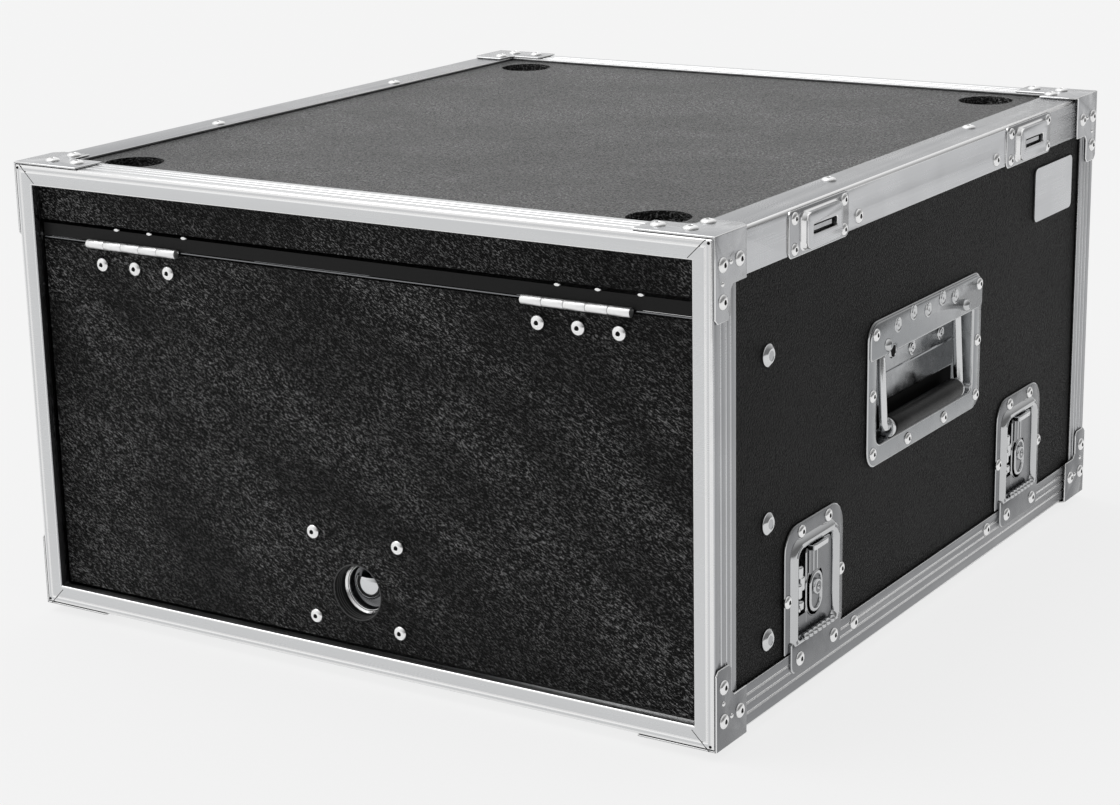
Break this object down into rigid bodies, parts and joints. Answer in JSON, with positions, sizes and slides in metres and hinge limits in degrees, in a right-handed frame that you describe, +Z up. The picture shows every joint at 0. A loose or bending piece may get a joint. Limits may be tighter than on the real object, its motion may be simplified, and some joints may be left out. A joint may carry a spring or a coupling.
{
  "type": "rack case with sliding doors",
  "caption": "Stackable black rack case with aluminium edges, corner braces, folding side latches, bail handles, and doors that swing up and slide under the lid.",
  "frame": {"origin": "on the floor under the middle of the case", "axes": "+Z up, the front door faces -Y, and the side with the badge plate is +X"},
  "size_m": [0.541, 0.59, 0.3193],
  "materials": {
    "vinyl": "black leather-grained vinyl on plywood",
    "edge_aluminium": "satin extruded profile",
    "steel": "bright plated pressed sheet",
    "black_bar": "black satin coat",
    "rubber": "matt black"
  },
  "bodies": {
    "case": {"top_panel": "vinyl", "bottom_panel": "vinyl", "left_panel": "vinyl", "right_panel": "vinyl", "front_header": "vinyl", "rear_header": "vinyl", "front_frame": "edge_aluminium", "rear_frame": "edge_aluminium", "left_runner": "edge_aluminium", "right_runner": "edge_aluminium", "badge_plate": "edge_aluminium", "bottom_left_edge": "edge_aluminium", "bottom_front_left_brace": "steel", "bottom_rear_left_brace": "steel", "bottom_right_edge": "edge_aluminium", "bottom_front_right_brace": "steel", "bottom_rear_right_brace": "steel", "top_left_edge": "edge_aluminium", "top_front_left_brace": "steel", "top_rear_left_brace": "steel", "top_right_edge": "edge_aluminium", "top_front_right_brace": "steel", "top_rear_right_brace": "steel", "foot_1": "rubber", "foot_2": "rubber", "foot_3": "rubber", "foot_4": "rubber", "left_rack_rail": "steel", "left_handle_dish": "steel", "front_left_latch_dish": "steel", "rear_left_latch_dish": "steel", "right_rack_rail": "steel", "right_handle_dish": "steel", "front_right_latch_dish": "steel", "rear_right_latch_dish": "steel", "front_door_carriage": "black_bar"},
    "front_door": {"front_door_panel": "vinyl", "front_door_hinge_left": "steel", "front_door_hinge_right": "steel", "front_catch_housing": "steel"},
    "front_catch": {"front_catch_bolt": "steel"},
    "rear_door": {"rear_door_panel": "vinyl", "rear_door_carriage": "black_bar", "rear_catch_housing": "steel"},
    "left_handle": {"left_handle_bail": "steel", "left_handle_grip": "rubber"},
    "front_left_latch_flap": {"front_left_latch_flap": "steel"},
    "front_left_latch_wing": {"front_left_latch_wing": "steel"},
    "front_left_latch_hook": {"front_left_latch_hook": "steel"},
    "rear_left_latch_flap": {"rear_left_latch_flap": "steel"},
    "rear_left_latch_wing": {"rear_left_latch_wing": "steel"},
    "rear_left_latch_hook": {"rear_left_latch_hook": "steel"},
    "right_handle": {"right_handle_bail": "steel", "right_handle_grip": "rubber"},
    "front_right_latch_flap": {"front_right_latch_flap": "steel"},
    "front_right_latch_wing": {"front_right_latch_wing": "steel"},
    "front_right_latch_hook": {"front_right_latch_hook": "steel"},
    "rear_right_latch_flap": {"rear_right_latch_flap": "steel"},
    "rear_right_latch_wing": {"rear_right_latch_wing": "steel"},
    "rear_right_latch_hook": {"rear_right_latch_hook": "steel"}
  },
  "joints": [
    {"name": "front_door_swing", "type": "hinge", "parent": "case", "child": "front_door", "pos_m": [0, -0.2898, 0.2664], "axis": [-1, 0, 0], "range_deg": [0, 90]},
    {"name": "front_catch_throw", "type": "slide", "parent": "front_door", "child": "front_catch", "axis": [0, 0, -1], "range_m": [0, 0.006]},
    {"name": "rear_door_slide", "type": "slide", "parent": "case", "child": "rear_door", "axis": [0, 1, 0], "range_m": [0, 0.2475]},
    {"name": "left_handle_swing", "type": "hinge", "parent": "case", "child": "left_handle", "pos_m": [-0.2582, 0, 0.1975], "axis": [0, 1, 0], "range_deg": [0, 90]},
    {"name": "front_left_latch_flip", "type": "hinge", "parent": "case", "child": "front_left_latch_flap", "pos_m": [-0.2678, -0.164, 0.043], "axis": [0, -1, 0], "range_deg": [0, 180]},
    {"name": "front_left_latch_turn", "type": "hinge", "parent": "front_left_latch_flap", "child": "front_left_latch_wing", "pos_m": [-0.2645, -0.164, 0.07], "axis": [-1, 0, 0], "range_deg": [0, 180]},
    {"name": "front_left_latch_draw", "type": "slide", "parent": "front_left_latch_flap", "child": "front_left_latch_hook", "axis": [0, 0, 1], "range_m": [0, 0.006]},
    {"name": "rear_left_latch_flip", "type": "hinge", "parent": "case", "child": "rear_left_latch_flap", "pos_m": [-0.2678, 0.164, 0.043], "axis": [0, -1, 0], "range_deg": [0, 180]},
    {"name": "rear_left_latch_turn", "type": "hinge", "parent": "rear_left_latch_flap", "child": "rear_left_latch_wing", "pos_m": [-0.2645, 0.164, 0.07], "axis": [-1, 0, 0], "range_deg": [0, 180]},
    {"name": "rear_left_latch_draw", "type": "slide", "parent": "rear_left_latch_flap", "child": "rear_left_latch_hook", "axis": [0, 0, 1], "range_m": [0, 0.006]},
    {"name": "right_handle_swing", "type": "hinge", "parent": "case", "child": "right_handle", "pos_m": [0.2582, 0, 0.1975], "axis": [0, -1, 0], "range_deg": [0, 90]},
    {"name": "front_right_latch_flip", "type": "hinge", "parent": "case", "child": "front_right_latch_flap", "pos_m": [0.2678, -0.164, 0.043], "axis": [0, 1, 0], "range_deg": [0, 180]},
    {"name": "front_right_latch_turn", "type": "hinge", "parent": "front_right_latch_flap", "child": "front_right_latch_wing", "pos_m": [0.2645, -0.164, 0.07], "axis": [1, 0, 0], "range_deg": [0, 180]},
    {"name": "front_right_latch_draw", "type": "slide", "parent": "front_right_latch_flap", "child": "front_right_latch_hook", "axis": [0, 0, 1], "range_m": [0, 0.006]},
    {"name": "rear_right_latch_flip", "type": "hinge", "parent": "case", "child": "rear_right_latch_flap", "pos_m": [0.2678, 0.164, 0.043], "axis": [0, 1, 0], "range_deg": [0, 180]},
    {"name": "rear_right_latch_turn", "type": "hinge", "parent": "rear_right_latch_flap", "child": "rear_right_latch_wing", "pos_m": [0.2645, 0.164, 0.07], "axis": [1, 0, 0], "range_deg": [0, 180]},
    {"name": "rear_right_latch_draw", "type": "slide", "parent": "rear_right_latch_flap", "child": "rear_right_latch_hook", "axis": [0, 0, 1], "range_m": [0, 0.006]}
  ],
  "couplings": [
    {"joint": "front_left_latch_draw", "follows": "front_left_latch_turn", "m_per_rad": 0.0019098},
    {"joint": "rear_left_latch_draw", "follows": "rear_left_latch_turn", "m_per_rad": 0.0019098},
    {"joint": "front_right_latch_draw", "follows": "front_right_latch_turn", "m_per_rad": 0.0019098},
    {"joint": "rear_right_latch_draw", "follows": "rear_right_latch_turn", "m_per_rad": 0.0019098}
  ]
}
